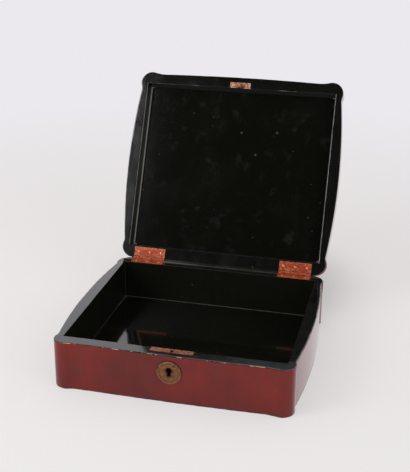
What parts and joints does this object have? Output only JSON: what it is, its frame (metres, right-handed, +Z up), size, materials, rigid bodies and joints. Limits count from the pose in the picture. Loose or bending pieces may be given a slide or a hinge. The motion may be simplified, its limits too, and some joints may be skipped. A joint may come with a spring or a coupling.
{
  "type": "deed box",
  "caption": "Low lacquered wooden box with a serpentine plan, a hollow hinged lid standing open, brass butt hinges, and a lock with a round keyhole plate.",
  "frame": {"origin": "on the table, in the middle of the box's underside", "axes": "+X to the right seen from the keyhole side, +Y to the hinges at the back, +Z up"},
  "size_m": [0.27, 0.3652, 0.2711],
  "materials": {
    "red_lacquer": "glossy oriental lacquer, red-brown outside and black on the rims and inside",
    "black_lacquer": "glossy black lacquer",
    "red_brass": "tarnished, satin",
    "brass": "aged, satin",
    "steel": "dull"
  },
  "bodies": {
    "box": {"front_wall": "red_lacquer", "rear_wall": "red_lacquer", "left_wall": "red_lacquer", "right_wall": "red_lacquer", "bottom_board": "black_lacquer", "hinge_left_base_leaf": "red_brass", "hinge_left_pin": "steel", "hinge_right_base_leaf": "red_brass", "hinge_right_pin": "steel", "base_hinge_nails": "brass", "lock_plate": "red_brass", "lock_cap": "brass", "lock_pillars": "brass", "lock_guide_studs": "brass", "lock_key_pin": "steel", "lock_spring": "steel", "lock_nails": "brass", "escutcheon": "brass", "escutcheon_pins": "brass"},
    "lid": {"lid_front_rail": "red_lacquer", "lid_rear_rail": "red_lacquer", "lid_left_rail": "red_lacquer", "lid_right_rail": "red_lacquer", "lid_top_panel": "red_lacquer", "hinge_left_lid_leaf": "red_brass", "hinge_right_lid_leaf": "red_brass", "lid_hinge_nails": "brass", "catch_plate": "red_brass", "catch_eye": "brass", "catch_nails": "brass"},
    "bolt": {"lock_bolt": "brass"}
  },
  "joints": [
    {"name": "lid_hinge", "type": "hinge", "parent": "box", "child": "lid", "pos_m": [0, 0.1204, 0.05515], "axis": [-1, 0, 0], "range_deg": [-116, 0]},
    {"name": "bolt_slide", "type": "slide", "parent": "box", "child": "bolt", "axis": [1, 0, 0], "range_m": [0, 0.006]}
  ]
}
